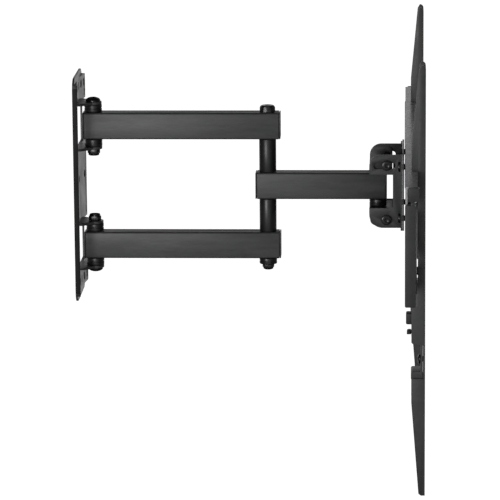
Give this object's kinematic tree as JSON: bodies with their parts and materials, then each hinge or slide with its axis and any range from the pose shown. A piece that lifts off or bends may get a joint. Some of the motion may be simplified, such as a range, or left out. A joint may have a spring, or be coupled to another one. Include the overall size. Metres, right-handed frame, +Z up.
{
  "type": "full motion tv wall mount",
  "caption": "Full motion TV wall mount: twin lower arm, single forearm, swivel and tilt head, wide rail and two hooked TV brackets.",
  "frame": {"origin": "centre of the wall plate's back face, on the wall", "axes": "+X out from the wall to the TV, +Y along the wall, +Z up"},
  "size_m": [0.3637, 0.619, 0.434],
  "materials": {
    "sheet_steel": "fine textured black powder coat",
    "arm_steel": "fine textured black powder coat with a faint grain along the tube",
    "fastener_steel": "black oxide, satin",
    "black_plastic": "moulded nylon, satin"
  },
  "bodies": {
    "wall": {"wall_plate": "sheet_steel", "upper_wall_bolt": "fastener_steel", "upper_wall_nut": "fastener_steel", "upper_wall_bush_top": "black_plastic", "upper_wall_bush_bottom": "black_plastic", "lower_wall_bolt": "fastener_steel", "lower_wall_nut": "fastener_steel", "lower_wall_bush_top": "black_plastic", "lower_wall_bush_bottom": "black_plastic"},
    "twin_arm": {"upper_arm": "arm_steel", "upper_arm_wall_plug": "black_plastic", "upper_arm_elbow_plug": "black_plastic", "upper_elbow_spacer": "fastener_steel", "lower_arm": "arm_steel", "lower_arm_wall_plug": "black_plastic", "lower_arm_elbow_plug": "black_plastic", "lower_elbow_spacer": "fastener_steel", "elbow_bolt": "fastener_steel", "elbow_washer": "black_plastic", "elbow_nut": "fastener_steel"},
    "forearm": {"forearm": "arm_steel", "forearm_elbow_plug": "black_plastic", "forearm_head_plug": "black_plastic"},
    "yoke": {"upper_swivel_yoke": "sheet_steel", "lower_swivel_yoke": "sheet_steel", "swivel_bush_top": "black_plastic", "swivel_bush_bottom": "black_plastic", "swivel_bolt": "fastener_steel", "swivel_nut": "fastener_steel", "near_tilt_pivot_bolt": "fastener_steel", "near_tilt_lock_bolt": "fastener_steel", "far_tilt_pivot_bolt": "fastener_steel", "far_tilt_lock_bolt": "fastener_steel"},
    "head": {"near_tilt_cheek": "sheet_steel", "far_tilt_cheek": "sheet_steel", "head_plate": "sheet_steel", "near_upper_level_bolt": "fastener_steel", "near_lower_level_bolt": "fastener_steel", "far_upper_level_bolt": "fastener_steel", "far_lower_level_bolt": "fastener_steel"},
    "rail": {"rail": "sheet_steel", "near_rail_cap": "black_plastic", "far_rail_cap": "black_plastic"},
    "near_bracket": {"near_bracket_arm": "sheet_steel", "near_bracket_extension": "sheet_steel", "near_upper_extension_screw": "fastener_steel", "near_lower_extension_screw": "fastener_steel", "near_safety_screw": "fastener_steel"},
    "near_latch": {"near_latch_block": "black_plastic"},
    "far_bracket": {"far_bracket_arm": "sheet_steel", "far_bracket_extension": "sheet_steel", "far_upper_extension_screw": "fastener_steel", "far_lower_extension_screw": "fastener_steel", "far_safety_screw": "fastener_steel"},
    "far_latch": {"far_latch_block": "black_plastic"}
  },
  "joints": [
    {"name": "wall_swing", "type": "hinge", "parent": "wall", "child": "twin_arm", "pos_m": [0.0176, 0, 0], "axis": [0, 0, 1], "range_deg": [-80, 80]},
    {"name": "elbow_swing", "type": "hinge", "parent": "twin_arm", "child": "forearm", "pos_m": [0.2, 0, 0], "axis": [0, 0, 1], "range_deg": [-75, 75]},
    {"name": "head_swivel", "type": "hinge", "parent": "forearm", "child": "yoke", "pos_m": [0.3154, 0, 0], "axis": [0, 0, 1], "range_deg": [-40, 40]},
    {"name": "head_tilt", "type": "hinge", "parent": "yoke", "child": "head", "pos_m": [0.3243, 0, -0.0306], "axis": [0, 1, 0], "range_deg": [-5, 10]},
    {"name": "rail_level", "type": "hinge", "parent": "head", "child": "rail", "pos_m": [0.342, 0, 0], "axis": [1, 0, 0], "range_deg": [-3, 3]},
    {"name": "near_bracket_slide", "type": "slide", "parent": "rail", "child": "near_bracket", "axis": [0, 1, 0], "range_m": [-0.079, 0.108]},
    {"name": "near_latch_slide", "type": "slide", "parent": "near_bracket", "child": "near_latch", "axis": [0, 0, 1], "range_m": [-0.005, 0], "stiffness_N_per_m": 200, "springref_m": 0.002},
    {"name": "far_bracket_slide", "type": "slide", "parent": "rail", "child": "far_bracket", "axis": [0, 1, 0], "range_m": [-0.108, 0.079]},
    {"name": "far_latch_slide", "type": "slide", "parent": "far_bracket", "child": "far_latch", "axis": [0, 0, 1], "range_m": [-0.005, 0], "stiffness_N_per_m": 200, "springref_m": 0.002}
  ]
}
